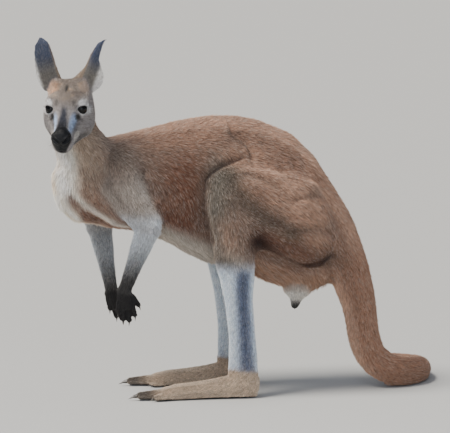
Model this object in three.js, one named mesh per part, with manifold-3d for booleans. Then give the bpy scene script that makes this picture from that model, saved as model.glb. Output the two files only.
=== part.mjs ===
// A life-size red kangaroo, an adult male standing crouched on its hind feet and tail, its arms
// hanging and its head turned to its left. Millimetres, +Z up, the animal facing -Y, +X its left.
//
// Each part of the body is a closed skin wrapped round a set of named masses: bone and muscle
// shapes given by their place and size, which run smoothly into each other. The parts are then
// cut from their neighbours with a thin gap, so that they meet with no overlap.

import * as THREE from "three";
import { mergeVertices } from "three/addons/utils/BufferGeometryUtils.js";
import Module from "manifold-3d";

const wasm = await Module();
wasm.setup();

// ---------------------------------------------------------------- driving sizes
const GAP = 0.3; // between two parts cut along a plane
const SOCKET = 0.7; // by which a hollow is larger than the part that sits in it
const HIND_TRACK = 104; // from the middle of the body to the middle of each hind foot
const HEAD_JOINT = [70, -430, 785]; // where the skull sits on the neck
const HEAD_YAW = 76; // degrees, to the left of straight ahead
const HEAD_PITCH = 20; // degrees, nose down
const EYE_RADIUS = 13.5;
const EAR_LENGTH = 134;
const BIG = 3000; // side of the blocks that cut a part along a plane

const v3 = (p) => new THREE.Vector3(...p);
const radians = THREE.MathUtils.degToRad;
const AXIS_X = v3([1, 0, 0]);

// ---------------------------------------------------------------- masses
// A mass is a function from a point to its distance from the surface, negative inside.

// A ball or egg: centre, three radii, and a turn in degrees about X, then Z.
function ball(centre, radii, turn = [0, 0]) {
  const middle = v3(centre);
  const r = v3(Array.isArray(radii) ? radii : [radii, radii, radii]);
  const back = new THREE.Quaternion()
    .setFromEuler(new THREE.Euler(radians(turn[0]), 0, radians(turn[1]), "ZYX"))
    .invert();
  const q = new THREE.Vector3();
  return (p) => {
    q.copy(p).sub(middle).applyQuaternion(back);
    const near = q.clone().divide(r).length();
    const slope = q.clone().divide(r).divide(r).length();
    return slope < 1e-9 ? -Math.min(r.x, r.y, r.z) : (near * (near - 1)) / slope;
  };
}

// A tapering bar with round ends, such as a bone with its muscle.
function bar(from, to, radiusFrom, radiusTo) {
  const a = v3(from);
  const along = v3(to).sub(a);
  const length2 = along.lengthSq();
  return (p) => {
    const q = p.clone().sub(a);
    const t = THREE.MathUtils.clamp(q.dot(along) / length2, 0, 1);
    return q.addScaledVector(along, -t).length() - radiusFrom - t * (radiusTo - radiusFrom);
  };
}

// A frame carried along a curve without twisting, at even steps: centre, tangent, side and up.
function framesAlong(curve, steps) {
  const frames = [];
  let side = AXIS_X.clone();
  for (let i = 0; i <= steps; i++) {
    const tangent = curve.getTangent(i / steps);
    side = side.clone().addScaledVector(tangent, -side.dot(tangent)).normalize();
    const up = new THREE.Vector3().crossVectors(side, tangent);
    frames.push({ centre: curve.getPoint(i / steps), tangent, side, up });
  }
  return frames;
}

const spineOf = (stations) =>
  new THREE.CatmullRomCurve3(stations.map((s) => v3(s.at)), false, "centripetal");

// A tube of oval sections: stations along its middle line, each with its half width (across)
// and half depth. Its ends are round.
function tube(stations, capShare = 0.8) {
  const steps = 12 * (stations.length - 1);
  const sizes = new THREE.CatmullRomCurve3(
    stations.map((s) => new THREE.Vector3(s.wide, s.deep, 0)),
    false,
    "centripetal",
  );
  const even = (i) => i / steps;
  const frames = framesAlong(spineOf(stations), steps);
  frames.forEach((f, i) => (f.size = sizes.getPoint(even(i))));
  const q = new THREE.Vector3();
  return (p) => {
    let best = frames[0];
    let least = Infinity;
    for (const f of frames) {
      const d = p.distanceToSquared(f.centre);
      if (d < least) {
        least = d;
        best = f;
      }
    }
    q.copy(p).sub(best.centre);
    const cap = capShare * Math.min(best.size.x, best.size.y);
    const x = q.dot(best.side);
    const y = q.dot(best.up);
    const isEnd = best === frames[0] || best === frames[steps];
    const z = isEnd ? q.dot(best.tangent) : 0;
    const near = Math.hypot(x / best.size.x, y / best.size.y, z / cap);
    const slope = Math.hypot(x / best.size.x ** 2, y / best.size.y ** 2, z / cap ** 2);
    return slope < 1e-9 ? -cap : (near * (near - 1)) / slope;
  };
}

// Several masses run together, with a fillet of about the given size where they meet.
function blend(fillet, masses) {
  return (p) =>
    masses.reduce((sum, mass) => {
      const d = mass(p);
      const h = Math.max(fillet - Math.abs(sum - d), 0) / fillet;
      return Math.min(sum, d) - (h * h * fillet) / 4;
    }, Infinity);
}

// The same mass on the animal's other side.
const mirrored = (mass) => (p) => mass(new THREE.Vector3(-p.x, p.y, p.z));

// ---------------------------------------------------------------- wrapping and cutting

// Wraps a closed skin round a mass. A sphere's rings are laid along the spine, and each vertex
// goes straight out from the spine to the surface; the first and last rings fan over the ends.
function wrap(mass, spine, { sides, rings, grow = 0, fan = 0.16 }) {
  const geometry = new THREE.SphereGeometry(1, sides, rings);
  const { position, uv } = geometry.attributes;
  const steps = 200;
  const frames = framesAlong(spine, steps);
  const out = new THREE.Vector3();
  const p = new THREE.Vector3();
  for (let i = 0; i < position.count; i++) {
    const along = 1 - uv.getY(i);
    const share = THREE.MathUtils.clamp((along - fan) / (1 - 2 * fan), 0, 1);
    const frame = frames[Math.round(share * steps)];
    const before = Math.max(0, 1 - along / fan);
    const after = Math.max(0, 1 - (1 - along) / fan);
    const lean = (Math.PI / 2) * (after - before);
    const round = uv.getX(i) * 2 * Math.PI;
    out
      .set(0, 0, 0)
      .addScaledVector(frame.side, Math.cos(round) * Math.cos(lean))
      .addScaledVector(frame.up, Math.sin(round) * Math.cos(lean))
      .addScaledVector(frame.tangent, Math.sin(lean));
    let inside = 0;
    let reach = 0;
    for (let n = 0; n < 80; n++) {
      const d = mass(p.copy(frame.centre).addScaledVector(out, reach)) - grow;
      if (d > -0.02) break;
      inside = reach;
      reach += Math.max(-d * 0.8, 0.05);
    }
    for (let n = 0; n < 12; n++) {
      const middle = (inside + reach) / 2;
      const d = mass(p.copy(frame.centre).addScaledVector(out, middle)) - grow;
      if (d < 0) inside = middle;
      else reach = middle;
    }
    p.copy(frame.centre).addScaledVector(out, reach);
    position.setXYZ(i, p.x, p.y, p.z);
  }
  return geometry;
}

// A geometry's solid, turned inside out where its faces point in.
function solidOf(geometry) {
  const bare = geometry.clone();
  bare.deleteAttribute("normal");
  bare.deleteAttribute("uv");
  const merged = mergeVertices(bare, 1e-3);
  const triVerts = new Uint32Array(merged.index.array);
  const vertProperties = new Float32Array(merged.attributes.position.array);
  const make = () => new wasm.Manifold(new wasm.Mesh({ numProp: 3, vertProperties, triVerts }));
  const made = make();
  if (made.volume() > 0) return made;
  for (let i = 0; i < triVerts.length; i += 3)
    [triVerts[i + 1], triVerts[i + 2]] = [triVerts[i + 2], triVerts[i + 1]];
  return make();
}

// A wrapped body part, with a slightly larger copy that cuts a gap in its neighbours.
function flesh(mass, stations, options) {
  const spine = spineOf(stations);
  return {
    solid: solidOf(wrap(mass, spine, options)),
    cutter: solidOf(wrap(mass, spine, { ...options, grow: SOCKET })),
  };
}

// The block of space on one side of a plane, from a point on it and the way that the side faces.
function beyond(point, facing, gap = GAP / 2) {
  const block = new THREE.BoxGeometry(BIG, BIG, BIG);
  const way = v3(facing).normalize();
  block.translate(0, 0, BIG / 2 + gap);
  block.applyQuaternion(new THREE.Quaternion().setFromUnitVectors(v3([0, 0, 1]), way));
  block.translate(...point);
  return solidOf(block);
}

// A solid parted along a plane: the half that the arrow points away from, and the other.
function part(solid, [point, arrow]) {
  const back = arrow.map((a) => -a);
  return [solid.intersect(beyond(point, back)), solid.intersect(beyond(point, arrow))];
}

// The largest body of a solid: a cut can leave crumbs.
function largest(solid) {
  return solid.decompose().sort((a, b) => b.volume() - a.volume())[0];
}

const floorBlock = beyond([0, 0, 0], [0, 0, 1], 0);
const standing = (piece) => ({
  solid: piece.solid.intersect(floorBlock),
  cutter: piece.cutter,
});

// ---------------------------------------------------------------- colours of the coat and horn
const coat = (color) => ({ color, roughness: 0.85, metalness: 0 });
const REDDISH = coat(0x97725c);
const TAIL_RED = coat(0x9f7b63);
const THROAT = coat(0xb7a591);
const FACE = coat(0x958d85);
const EAR_BACK = coat(0x65666b);
const FOREARM_GREY = coat(0x8b8b8d);
const SHANK_PALE = coat(0xbcb9b3);
const FOOT_TAN = coat(0x8d7c6c);
const POUCH_PALE = coat(0xd2cabf);
const HAND_DARK = coat(0x2f2a28);
const HORN = { color: 0x1c1a19, roughness: 0.4, metalness: 0 };
const EYE_GLOSS = { color: 0x0d0a08, roughness: 0.08, metalness: 0 };

const animal = new THREE.Group();

// Adds one named part, from its solid and its colour and finish.
function addNode(name, solid, finish) {
  const { vertProperties, triVerts, numProp } = largest(solid).getMesh();
  const count = vertProperties.length / numProp;
  const points = new Float32Array(count * 3);
  for (let i = 0; i < count; i++)
    points.set(vertProperties.subarray(i * numProp, i * numProp + 3), i * 3);
  const geometry = new THREE.BufferGeometry();
  geometry.setAttribute("position", new THREE.BufferAttribute(points, 3));
  geometry.setIndex(new THREE.BufferAttribute(triVerts, 1));
  const mesh = new THREE.Mesh(geometry, new THREE.MeshStandardMaterial(finish));
  mesh.name = name;
  animal.add(mesh);
}

// ---------------------------------------------------------------- trunk
// The barrel runs from the breast to the root of the tail. Its front bends to the left.
const station = (at, wide, deep) => ({ at, wide, deep });
const barrel = [
  station([50, -400, 550], 76, 96),
  station([33, -345, 556], 94, 120),
  station([16, -270, 558], 108, 131),
  station([6, -190, 556], 120, 153),
  station([0, -110, 548], 128, 183),
  station([0, -30, 531], 124, 200),
  station([0, 49, 516], 117, 196),
  station([0, 122, 488], 107, 171),
  station([0, 185, 453], 94, 119),
  station([0, 242, 401], 84, 88),
  station([0, 282, 345], 68, 64),
];
const breast = ball([52, -418, 562], [60, 64, 92]);
const perineum = ball([0, 172, 338], [60, 86, 88]);
const groin = ball([0, 84, 334], [54, 52, 48]);
const trunkMass = blend(50, [tube(barrel, 0.7), breast, perineum, groin]);

// ---------------------------------------------------------------- neck
const throat = [
  station([30, -350, 575], 82, 104),
  station([52, -400, 632], 66, 78),
  station([63, -424, 695], 56, 62),
  station([67, -430, 742], 48, 55),
  station([66, -432, 778], 38, 46),
  station([65, -432, 804], 24, 32),
];
const neckMass = tube(throat);

// ---------------------------------------------------------------- tail
// It hangs from the rump, turns along the ground and curls round behind, to the right.
const tailStations = [
  station([0, 259, 385], 76, 78),
  station([0, 289, 338], 66, 62),
  station([0, 309, 288], 59, 55),
  station([0, 326, 234], 54, 49),
  station([0, 335, 180], 50, 45),
  station([0, 343, 132], 47, 45),
  station([-1, 358, 92], 45, 44),
  station([-4, 388, 60], 43, 42),
  station([-16, 430, 42], 41, 40),
  station([-44, 474, 36], 38, 37),
  station([-90, 505, 32], 35, 33),
  station([-150, 522, 28], 31, 29),
  station([-225, 522, 24], 27, 25),
  station([-300, 505, 20], 23, 21),
  station([-368, 474, 16], 18, 17),
  station([-418, 440, 12], 12, 13),
];
const tailMass = tube(tailStations, 1.2);

// ---------------------------------------------------------------- hind legs
// The haunch is a broad flat mass of muscle over the hip, with the knee at its front.
const flat = (mass, middle, share) => (p) =>
  mass(new THREE.Vector3(middle + (p.x - middle) / share, p.y, p.z)) * share;
const HAUNCH_X = 92;
const haunchMass = blend(40, [
  flat(bar([HAUNCH_X, 120, 492], [HAUNCH_X + 6, -16, 534], 112, 84), HAUNCH_X, 0.5),
  flat(bar([HAUNCH_X - 20, 184, 400], [HAUNCH_X - 4, 120, 460], 80, 90), HAUNCH_X - 16, 0.56),
  flat(bar([HAUNCH_X + 8, -18, 510], [HAUNCH_X + 12, -12, 450], 74, 68), HAUNCH_X + 10, 0.62),
]);
const haunchSpine = [
  station([HAUNCH_X - 18, 186, 402]),
  station([HAUNCH_X - 6, 120, 462]),
  station([HAUNCH_X + 4, 40, 500]),
  station([HAUNCH_X + 8, -18, 505]),
];
const shankStations = [
  station([HIND_TRACK, -10, 460], 32, 46),
  station([HIND_TRACK + 3, -16, 400], 44, 64),
  station([HIND_TRACK + 3, -14, 352], 42, 58),
  station([HIND_TRACK + 2, -9, 312], 37, 49),
  station([HIND_TRACK + 1, -5, 255], 32, 40),
  station([HIND_TRACK, 3, 177], 28, 38),
  station([HIND_TRACK, 6, 120], 28, 41),
  station([HIND_TRACK, 7, 72], 28, 45),
  station([HIND_TRACK, 6, 44], 26, 40),
];
const shankMass = tube(shankStations);

const footStations = [
  station([HIND_TRACK - 1, 30, 24], 23, 28),
  station([HIND_TRACK, -8, 30], 26, 34),
  station([HIND_TRACK + 1, -60, 25], 24, 29),
  station([HIND_TRACK + 3, -120, 21], 25, 25),
  station([HIND_TRACK + 5, -175, 18], 29, 22),
  station([HIND_TRACK + 6, -205, 14], 27, 17),
];
const heel = ball([HIND_TRACK, 16, 48], [25, 35, 40]);
const footMass = blend(14, [tube(footStations), heel]);

// Each hind toe: where it starts and ends, and its radii. The fourth is the long one; the
// second and third are small and joined in one skin.
const hindToes = {
  fourth: { from: [6, -190, 17], to: [9, -262, 13], radii: [17, 12], claw: 30 },
  fifth: { from: [20, -180, 14], to: [32, -222, 10], radii: [13, 9], claw: 18 },
  third: { from: [-11, -178, 11], to: [-16, -206, 8], radii: [9, 6.5], claw: 12 },
  second: { from: [-19, -176, 10], to: [-26, -201, 7], radii: [8, 6], claw: 12 },
};

// ---------------------------------------------------------------- arms
// Left and right differ, because the chest is turned and the hands meet in front.
const arms = {
  left: {
    blade: [72, -296, 628],
    shoulder: [98, -318, 572],
    elbow: [116, -240, 452],
    wrist: [104, -301, 286],
    lean: [0.02, 0.15],
    faces: [1, 0.25],
  },
  right: {
    blade: [-34, -326, 628],
    shoulder: [-42, -378, 562],
    elbow: [-66, -349, 436],
    wrist: [-20, -321, 270],
    lean: [0.14, 0.32],
    faces: [-0.8, 1],
  },
};
const UPPER_ARM = { blade: 38, top: 60, bottom: 39, flatness: 0.74 };
const FOREARM = { top: 37, belly: 29, bottom: 18.5, flatness: 0.85 };
const PALM = { length: 52, wide: 26, thick: 16 };
const FINGERS = [
  { name: "first", across: -19, start: 20, spread: -14, length: 24, radius: 7.5 },
  { name: "second", across: -13, start: 38, spread: -6, length: 30, radius: 8 },
  { name: "third", across: -2, start: 42, spread: 0, length: 36, radius: 8.5 },
  { name: "fourth", across: 10, start: 40, spread: 3, length: 32, radius: 8.5 },
  { name: "fifth", across: 19, start: 26, spread: 6, length: 26, radius: 8 },
];
const FINGER_CLAW = 17;

// ---------------------------------------------------------------- head
// In its own frame: facing -Y, from the joint of the neck to the nose.
const bothSides = (make) => [make(1), make(-1)];
const headMass = blend(14, [
  ball([0, -36, 4], [58, 60, 56]),
  ball([0, -84, 14], [45, 48, 34]),
  ...bothSides((side) => ball([side * 35, -88, 22], [20, 22, 20])),
  ...bothSides((side) => ball([side * 36, -30, 40], [20, 20, 26])),
  ...bothSides((side) => ball([side * 40, -62, -22], [25, 42, 44])),
  ...bothSides((side) => bar([side * 35, -64, -56], [side * 12, -150, -48], 25, 17)),
  ball([0, -96, -42], [32, 84, 34]),
  tube([
    station([0, -96, -8], 37, 44),
    station([0, -135, -17], 29, 38),
    station([0, -172, -23], 23.5, 32),
    station([0, -198, -26], 22, 28),
  ]),
  ball([0, -209, -19], [25, 15, 21]),
  ...bothSides((side) => ball([side * 10, -186, -42], [15, 28, 17])),
  ball([0, -182, -55], [17, 26, 16]),
]);
const headSpine = [
  station([0, -22, 0]),
  station([0, -90, -6]),
  station([0, -150, -20]),
  station([0, -202, -27]),
];
const EYES = { across: 39, forward: -106, up: 14 };
const EARS = { across: 41, forward: -26, up: 33 };
// The way that each ear points in the head's frame, how far its opening is turned out from
// straight back at the root and how much more at the tip, and how far its middle bows outwards.
// The outer edge flares into a lobe near the root.
const earPoses = {
  left: { along: [48, 40, 110], opening: -34, twist: -44, bow: 1, lobe: 18, web: 31 },
  right: { along: [-32, 40, 114], opening: -20, twist: -6, bow: 7, lobe: 5, web: 4 },
};

// An ear: a cupped leaf. A box is bent so that its width wraps round the ear's axis, deepest at
// the root and opening towards the tip. The root's inner edge spreads over the crown as a web.
function earGeometry(side, { opening, twist, bow, lobe, web }) {
  const ACROSS = 5;
  const ALONG = 8;
  const WIDEST = 50;
  const THICK = 4.5;
  const box = new THREE.BoxGeometry(1, 1, 1, ACROSS, 1, ALONG);
  const { position } = box.attributes;
  for (let i = 0; i < position.count; i++) {
    const across = position.getX(i) * 2;
    const face = position.getY(i) * 2;
    const s = position.getZ(i) + 0.5;
    const root = 0.88 + 0.12 * THREE.MathUtils.smoothstep(s, 0, 0.2);
    const outline = Math.sqrt(1 - s ** 7) * (1 - 0.3 * s) * root;
    const half = Math.max(WIDEST * outline, 4);
    const cup = THREE.MathUtils.lerp(1.7, 1, Math.min(s * 1.7, 1));
    const radius = half / cup;
    const angle = across * cup * 0.66;
    const wall = THICK * (1 - 0.45 * s) * (1 - 0.5 * across ** 2) + 1.2;
    const r = radius + (wall * face) / 2;
    const bend = 4 * side * bow * s * (1 - s);
    const flare = lobe * Math.max(across * side, 0) ** 2 * Math.sin(Math.PI * Math.min(s / 0.62, 1));
    const x = r * Math.sin(angle) + side * flare * Math.cos(angle) + bend;
    const y = 0.55 * radius - r * Math.cos(angle) + flare * Math.sin(Math.abs(angle));
    const turn = side * radians(opening + twist * s);
    const inner = Math.max(-across * side, 0) ** 1.5 * Math.max(1 - s / 0.55, 0) ** 2;
    position.setXYZ(
      i,
      x * Math.cos(turn) - y * Math.sin(turn) - side * web * inner,
      x * Math.sin(turn) + y * Math.cos(turn),
      s * EAR_LENGTH,
    );
  }
  return box;
}

// ---------------------------------------------------------------- small round parts
const claws = [];

// A claw: a cone bent down as it goes, its root inside the toe.
function claw(name, root, way, length, radius) {
  const geometry = new THREE.ConeGeometry(1, 1, 4, 2);
  const { position } = geometry.attributes;
  const droop = length * 0.28;
  for (let i = 0; i < position.count; i++) {
    const s = position.getY(i) + 0.5;
    position.setXYZ(
      i,
      position.getX(i) * radius,
      s * length,
      position.getZ(i) * radius * 1.15 - droop * s * s,
    );
  }
  const forward = v3(way).normalize();
  const side = new THREE.Vector3().crossVectors(forward, v3([0, 0, 1])).normalize();
  const up = new THREE.Vector3().crossVectors(side, forward);
  geometry.applyMatrix4(new THREE.Matrix4().makeBasis(side, forward, up));
  geometry.translate(...root);
  claws.push({ name, solid: solidOf(geometry) });
}

// A finger or toe, wrapped round one bar.
function digit(from, to, radiusFrom, radiusTo) {
  const inner = (share) => v3(from).lerp(v3(to), share).toArray();
  return flesh(
    bar(from, to, radiusFrom, radiusTo),
    [station(inner(0)), station(inner(0.5)), station(inner(1))],
    { sides: 5, rings: 4, fan: 0.3 },
  );
}

const joined = (pieces) => ({
  solid: pieces.map((p) => p.solid).reduce((a, b) => a.add(b)),
  cutter: pieces.map((p) => p.cutter).reduce((a, b) => a.add(b)),
});

// ---------------------------------------------------------------- making the parts
const trunk = flesh(trunkMass, barrel.slice(0, -1), { sides: 16, rings: 17, fan: 0.16 });
const neck = flesh(neckMass, throat, { sides: 12, rings: 7 });
const tail = standing(flesh(tailMass, tailStations, { sides: 11, rings: 27, fan: 0.06 }));
const scrotum = flesh(
  blend(16, [ball([0, 166, 272], [32, 44, 28]), bar([0, 166, 262], [0, 158, 222], 20, 12)]),
  [station([0, 166, 274]), station([0, 161, 234])],
  { sides: 10, rings: 8, fan: 0.3 },
);

function hindLeg(side) {
  const turn = side === "left" ? (m) => m : mirrored;
  const place = (s) => ({ ...s, at: [side === "left" ? s.at[0] : -s.at[0], s.at[1], s.at[2]] });
  const haunch = flesh(turn(haunchMass), haunchSpine.map(place), { sides: 14, rings: 12, fan: 0.27 });
  const shank = flesh(turn(shankMass), shankStations.map(place), { sides: 10, rings: 10 });
  const sign = side === "left" ? 1 : -1;
  const at = ([x, y, z]) => [sign * (HIND_TRACK + x), y, z];
  const sole = flesh(turn(footMass), footStations.map(place), { sides: 8, rings: 9 });
  const toes = Object.entries(hindToes).map(([name, toe]) => {
    const way = [sign * (toe.to[0] - toe.from[0]), toe.to[1] - toe.from[1], -2];
    const root = v3(at(toe.to)).addScaledVector(v3(way).normalize(), toe.radii[1] * 0.3);
    const lifted = [root.x, root.y, toe.claw * 0.28 + toe.radii[1] * 0.45];
    claw(`claw_${side}_foot_${name}`, lifted, way, toe.claw, toe.radii[1] * 0.52);
    return digit(at(toe.from), at(toe.to), ...toe.radii);
  });
  return { haunch, shank, foot: standing(joined([sole, ...toes])) };
}

function arm(side) {
  const { blade, shoulder, elbow, wrist, lean, faces } = arms[side];
  const sign = side === "left" ? 1 : -1;
  const towards = (a, b, share) => v3(a).lerp(v3(b), share).toArray();
  const upper = flesh(
    flat(
      blend(30, [
        bar(shoulder, elbow, UPPER_ARM.top, UPPER_ARM.bottom),
        bar(shoulder, blade, UPPER_ARM.top - 4, UPPER_ARM.blade),
      ]),
      shoulder[0],
      UPPER_ARM.flatness,
    ),
    [
      station(towards(shoulder, blade, 0.6)),
      station(shoulder),
      station(towards(shoulder, elbow, 0.5)),
      station(elbow),
    ],
    { sides: 12, rings: 11, fan: 0.3 },
  );
  const belly = towards(elbow, wrist, 0.28);
  const fore = flesh(
    flat(
      blend(12, [
        bar(elbow, belly, FOREARM.top, FOREARM.belly),
        bar(belly, wrist, FOREARM.belly, FOREARM.bottom),
      ]),
      belly[0],
      FOREARM.flatness,
    ),
    [station(elbow), station(belly), station(towards(belly, wrist, 0.5)), station(wrist)],
    { sides: 9, rings: 9, fan: 0.18 },
  );
  // The hand hangs from the wrist: down, across and forward are its own directions.
  const down = v3([lean[0], lean[1], -1]).normalize();
  const across = new THREE.Vector3().crossVectors(down, v3([...faces, 0])).normalize();
  const front = new THREE.Vector3().crossVectors(across, down).normalize();
  const spot = (x, y, z) =>
    v3(wrist)
      .addScaledVector(across, x)
      .addScaledVector(down, y)
      .addScaledVector(front, z)
      .toArray();
  const palmTube = [
    station(spot(0, -8, 0), PALM.thick + 4, FOREARM.bottom),
    station(spot(0, PALM.length * 0.45, 0), PALM.thick, PALM.wide - 2),
    station(spot(0, PALM.length * 0.8, 0), PALM.thick - 1, PALM.wide),
  ];
  const palm = flesh(tube(palmTube), palmTube, { sides: 8, rings: 5, fan: 0.25 });
  const fingers = FINGERS.map((f) => {
    const reach = f.start + f.length;
    const from = spot(f.across, f.start, 0);
    const to = spot(f.across + f.spread, reach, -sign * 5);
    const way = v3(to).sub(v3(from)).toArray();
    claw(`claw_${side}_hand_${f.name}`, to, way, FINGER_CLAW, 3.6);
    return digit(from, to, f.radius, f.radius - 1.2);
  });
  return { upper, fore, hand: joined([palm, ...fingers]) };
}

const hind = { left: hindLeg("left"), right: hindLeg("right") };
const fronts = { left: arm("left"), right: arm("right") };

// The head and what is on it are made in the head's own frame, then set on the neck.
const onNeck = new THREE.Matrix4()
  .makeRotationFromEuler(
    new THREE.Euler(radians(HEAD_PITCH), 0, radians(HEAD_YAW), "ZYX"),
  )
  .setPosition(v3(HEAD_JOINT));
function set(geometry) {
  geometry.applyMatrix4(onNeck);
  return solidOf(geometry);
}
function headPiece(mass, stations, options) {
  const spine = spineOf(stations);
  return {
    solid: set(wrap(mass, spine, options)),
    cutter: set(wrap(mass, spine, { ...options, grow: SOCKET })),
  };
}
const skull = headPiece(headMass, headSpine, { sides: 20, rings: 20, fan: 0.2 });
const sides = { left: 1, right: -1 };
const eyes = {};
const ears = {};
for (const [side, sign] of Object.entries(sides)) {
  const eyeAt = [sign * EYES.across, EYES.forward, EYES.up];
  const eyeball = (radius) => set(new THREE.SphereGeometry(radius, 10, 7).translate(...eyeAt));
  eyes[side] = { solid: eyeball(EYE_RADIUS), cutter: eyeball(EYE_RADIUS + SOCKET) };
  const { along } = earPoses[side];
  const stand = new THREE.Quaternion().setFromUnitVectors(v3([0, 0, 1]), v3(along).normalize());
  const leaf = earGeometry(sign, earPoses[side]);
  leaf.applyQuaternion(stand).translate(sign * EARS.across, EARS.forward, EARS.up);
  ears[side] = { solid: set(leaf) };
}

// ---------------------------------------------------------------- cutting them apart
// Planes, each by a point on it and the way towards the far part.
const TAIL_ROOT_CUT = [[0, 280, 330], [0, 0.8, -0.6]];
const TAIL_BEND_CUT = [[-1, 372, 76], [0, 0.72, -0.69]];
const kneeCut = (sign) => [[sign * HIND_TRACK, 0, 352], [0, -0.6, -0.8]];
const ankleCut = (sign) => [[sign * HIND_TRACK, 6, 76], [0, -0.1, -1]];

const carve = (solid, cutters) => cutters.reduce((rest, cutter) => rest.subtract(cutter), solid);

const limbCutters = [];
for (const [side, sign] of Object.entries(sides)) {
  const { haunch, shank, foot } = hind[side];
  const leg = haunch.solid.add(shank.solid).add(foot.solid).intersect(floorBlock);
  const [thighPart, belowKnee] = part(leg, kneeCut(sign));
  const [shankPart, footPart] = part(belowKnee, ankleCut(sign));
  const { upper, fore, hand } = fronts[side];
  const { elbow, wrist } = arms[side];
  const downArm = v3(wrist).sub(v3(elbow)).toArray();
  const limb = upper.solid.add(fore.solid).add(hand.solid);
  const [upperPart, belowElbow] = part(limb, [elbow, downArm]);
  const [forearmPart, handPart] = part(belowElbow, [wrist, downArm]);
  limbCutters.push(haunch.cutter, shank.cutter, upper.cutter, fore.cutter);
  addNode(`thigh_${side}`, thighPart, REDDISH);
  addNode(`shank_${side}`, shankPart, SHANK_PALE);
  addNode(`foot_${side}`, footPart, FOOT_TAN);
  addNode(`arm_${side}`, upperPart, REDDISH);
  addNode(`forearm_${side}`, forearmPart, FOREARM_GREY);
  addNode(`hand_${side}`, handPart, HAND_DARK);
  const digits = foot.cutter.add(hand.cutter);
  for (const { name, solid } of claws.filter((c) => c.name.includes(`_${side}_`)))
    addNode(name, solid.subtract(digits), HORN);
  addNode(`eye_${side}`, eyes[side].solid, EYE_GLOSS);
  addNode(`ear_${side}`, ears[side].solid.subtract(skull.cutter), EAR_BACK);
}

const [trunkWhole, tailWhole] = part(trunk.solid.add(tail.solid), TAIL_ROOT_CUT);
const [tailRoot, tailEnd] = part(carve(tailWhole, limbCutters), TAIL_BEND_CUT);
addNode("trunk", carve(trunkWhole, [neck.cutter, ...limbCutters]), REDDISH);
addNode("neck", carve(neck.solid, [skull.cutter, ...limbCutters]), THROAT);
addNode("head", carve(skull.solid, [eyes.left.cutter, eyes.right.cutter]), FACE);
addNode("tail_root", tailRoot, TAIL_RED);
addNode("tail_end", tailEnd, TAIL_RED);
addNode("scrotum", carve(scrotum.solid, [trunk.cutter, ...limbCutters]), POUCH_PALE);

// The origin is on the floor under the middle of the animal's box.
const box = new THREE.Box3().setFromObject(animal);
const middle = box.getCenter(new THREE.Vector3());
for (const mesh of animal.children) mesh.geometry.translate(-middle.x, -middle.y, 0);

export default animal;
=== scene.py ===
import math

import bmesh
import bpy
import numpy as np
from mathutils import Matrix, Vector
from mathutils.bvhtree import BVHTree
from mathutils.kdtree import KDTree


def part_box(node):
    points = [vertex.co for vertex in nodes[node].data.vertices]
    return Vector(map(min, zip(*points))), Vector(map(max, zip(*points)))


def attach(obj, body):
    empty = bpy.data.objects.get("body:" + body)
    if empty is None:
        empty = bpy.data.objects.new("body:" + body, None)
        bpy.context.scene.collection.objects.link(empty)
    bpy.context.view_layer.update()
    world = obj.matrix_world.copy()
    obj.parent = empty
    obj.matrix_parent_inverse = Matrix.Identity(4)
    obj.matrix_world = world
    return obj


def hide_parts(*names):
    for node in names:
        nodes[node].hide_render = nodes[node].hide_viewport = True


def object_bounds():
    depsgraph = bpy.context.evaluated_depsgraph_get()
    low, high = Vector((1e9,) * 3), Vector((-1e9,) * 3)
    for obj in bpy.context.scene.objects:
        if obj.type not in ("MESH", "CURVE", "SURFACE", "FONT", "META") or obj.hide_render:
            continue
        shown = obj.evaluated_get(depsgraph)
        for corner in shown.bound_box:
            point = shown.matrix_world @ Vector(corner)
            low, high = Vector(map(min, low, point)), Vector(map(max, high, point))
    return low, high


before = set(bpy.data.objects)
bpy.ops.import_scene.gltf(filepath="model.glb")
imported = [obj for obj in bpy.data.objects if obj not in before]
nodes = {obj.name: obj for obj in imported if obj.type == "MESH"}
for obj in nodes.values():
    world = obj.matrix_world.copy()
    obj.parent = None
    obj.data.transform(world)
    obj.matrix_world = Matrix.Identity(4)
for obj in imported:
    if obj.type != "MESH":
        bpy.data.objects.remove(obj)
cad_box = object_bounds()

# The form under the hide. The flesh is one closed shape from nose to tail tip, its limbs running into the
# trunk with no seam, as a taxidermist's body form is carved. It is worked down from the solid flesh parts.
SIDES = ("left", "right")
PAIRED = ("ear", "thigh", "shank", "foot", "arm", "forearm", "hand")
SINGLE = ("trunk", "neck", "head", "tail_root", "tail_end", "scrotum")
FLESH = [*SINGLE, *(f"{part}_{side}" for part in PAIRED for side in SIDES)]
VOXEL = 0.0024
SWELL = 0.0008  # closes the fine cuts between the flesh parts
# How far each part is smoothed, from 0 to 1, and how deep its coat is, in metres.
SMOOTHING = dict(trunk=1, neck=1, head=.14, tail_root=1, tail_end=.6, scrotum=.4, ear=0, thigh=1, shank=.5,
                 foot=.1, arm=.8, forearm=.4, hand=.02)
COAT_DEPTH = dict(trunk=.006, neck=.006, head=.0014, tail_root=.0055, tail_end=.004, scrotum=.0015, ear=.001,
                  thigh=.0055, shank=.0035, foot=.002, arm=.005, forearm=.0035, hand=.001)


def joined(names):
    """The CAD solids of these names in one bmesh, with the number of each face's solid."""
    bm = bmesh.new()
    owner = bm.faces.layers.int.new("owner")
    for number, name in enumerate(names):
        before = len(bm.faces)
        bm.from_mesh(nodes[name].data)
        bm.faces.ensure_lookup_table()
        for face in bm.faces[before:]:
            face[owner] = number
    bmesh.ops.remove_doubles(bm, verts=bm.verts, dist=1e-6)
    bm.normal_update()
    return bm


def placed(name, data):
    """A new object in the scene, at the origin."""
    ob = bpy.data.objects.new(name, data)
    bpy.context.scene.collection.objects.link(ob)
    return ob


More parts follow.
